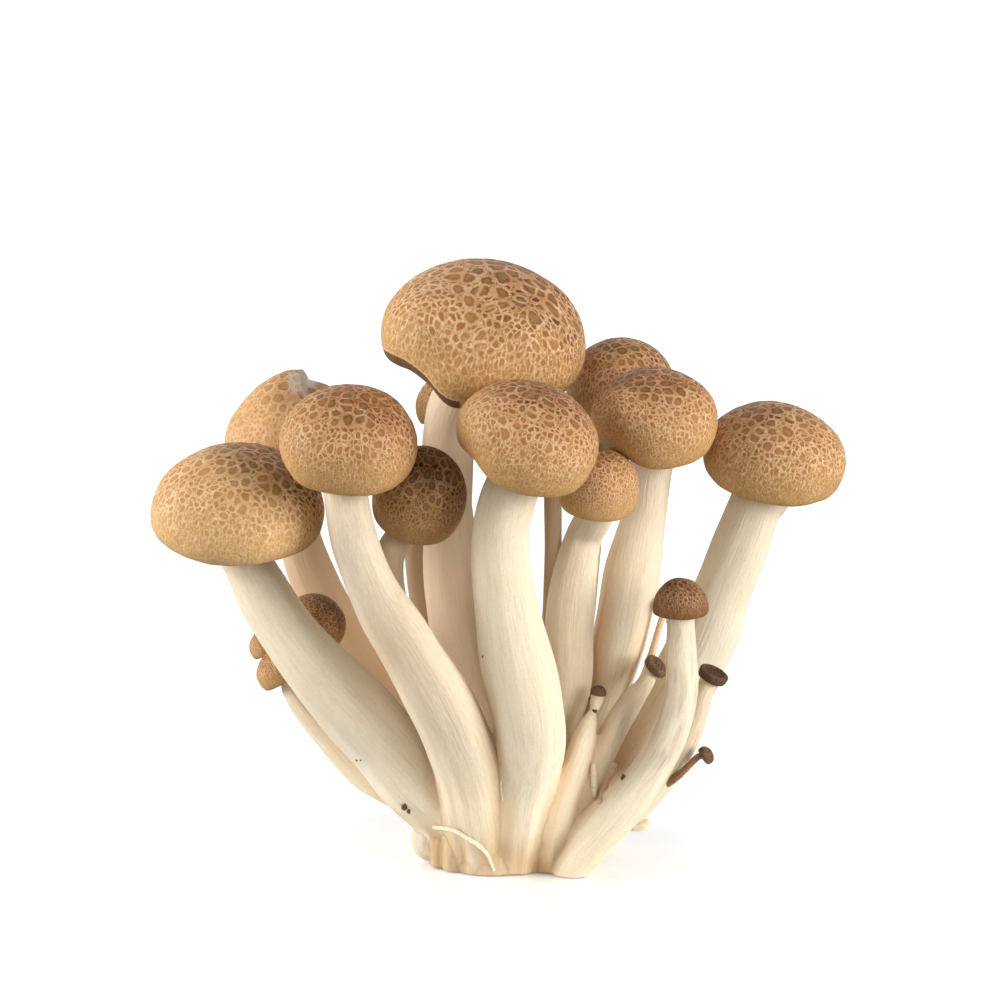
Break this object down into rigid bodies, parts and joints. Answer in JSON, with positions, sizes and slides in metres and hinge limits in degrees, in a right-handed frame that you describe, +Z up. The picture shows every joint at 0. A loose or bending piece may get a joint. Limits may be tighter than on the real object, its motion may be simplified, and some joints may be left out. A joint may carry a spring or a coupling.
{
  "type": "beech mushroom cluster",
  "caption": "Bunch of brown beech mushrooms: pale curved stems fan out from one flat-cut base and carry domed, mottled tan caps with gills, beside small dark pinheads.",
  "frame": {"origin": "centre of the flat cut face under the base", "axes": "+Z up from the cut face, +X to the right and +Y away from the viewer, as the cluster stands in the picture"},
  "size_m": [0.1033, 0.0519, 0.0902],
  "materials": {
    "tan": "smooth satin skin, mottled with brown scales in a pale net",
    "brown": "smooth satin skin, darker mottling",
    "dark": "dried dark pinhead skin",
    "flesh": "matte cream flesh with fine lengthwise fibres",
    "gill": "matte pale gills"
  },
  "bodies": {
    "root": {"base": "flesh", "cap_back_centre": "tan", "cap_back_left": "tan", "cap_back_right": "tan", "cap_centre_left": "tan", "cap_centre_right": "tan", "cap_far_right": "tan", "cap_left_back": "tan", "cap_left_front": "tan", "cap_low_left": "tan", "cap_low_left_back": "tan", "cap_pin_bent": "dark", "cap_pin_front": "dark", "cap_pin_thin": "dark", "cap_right_back": "tan", "cap_right_mid": "tan", "cap_small_front": "brown", "cap_small_left": "brown", "cap_stub_mid": "dark", "cap_stub_right": "dark", "cap_tall": "tan", "cap_tucked_left": "brown", "cap_tucked_right": "tan", "gills_centre_left": "gill", "gills_centre_right": "gill", "gills_far_right": "gill", "gills_left_back": "gill", "gills_left_front": "gill", "gills_right_back": "gill", "gills_right_mid": "gill", "gills_tall": "gill", "stem_back_centre": "flesh", "stem_back_left": "flesh", "stem_back_right": "flesh", "stem_centre_left": "flesh", "stem_centre_right": "flesh", "stem_far_right": "flesh", "stem_left_back": "flesh", "stem_left_front": "flesh", "stem_low_left": "flesh", "stem_low_left_back": "flesh", "stem_pin_front": "flesh", "stem_pin_thin": "flesh", "stem_right_back": "flesh", "stem_right_mid": "flesh", "stem_small_front": "flesh", "stem_small_left": "flesh", "stem_stub_mid": "flesh", "stem_stub_right": "flesh", "stem_tall": "flesh", "stem_tucked_left": "flesh", "stem_tucked_right": "flesh"}
  },
  "joints": []
}
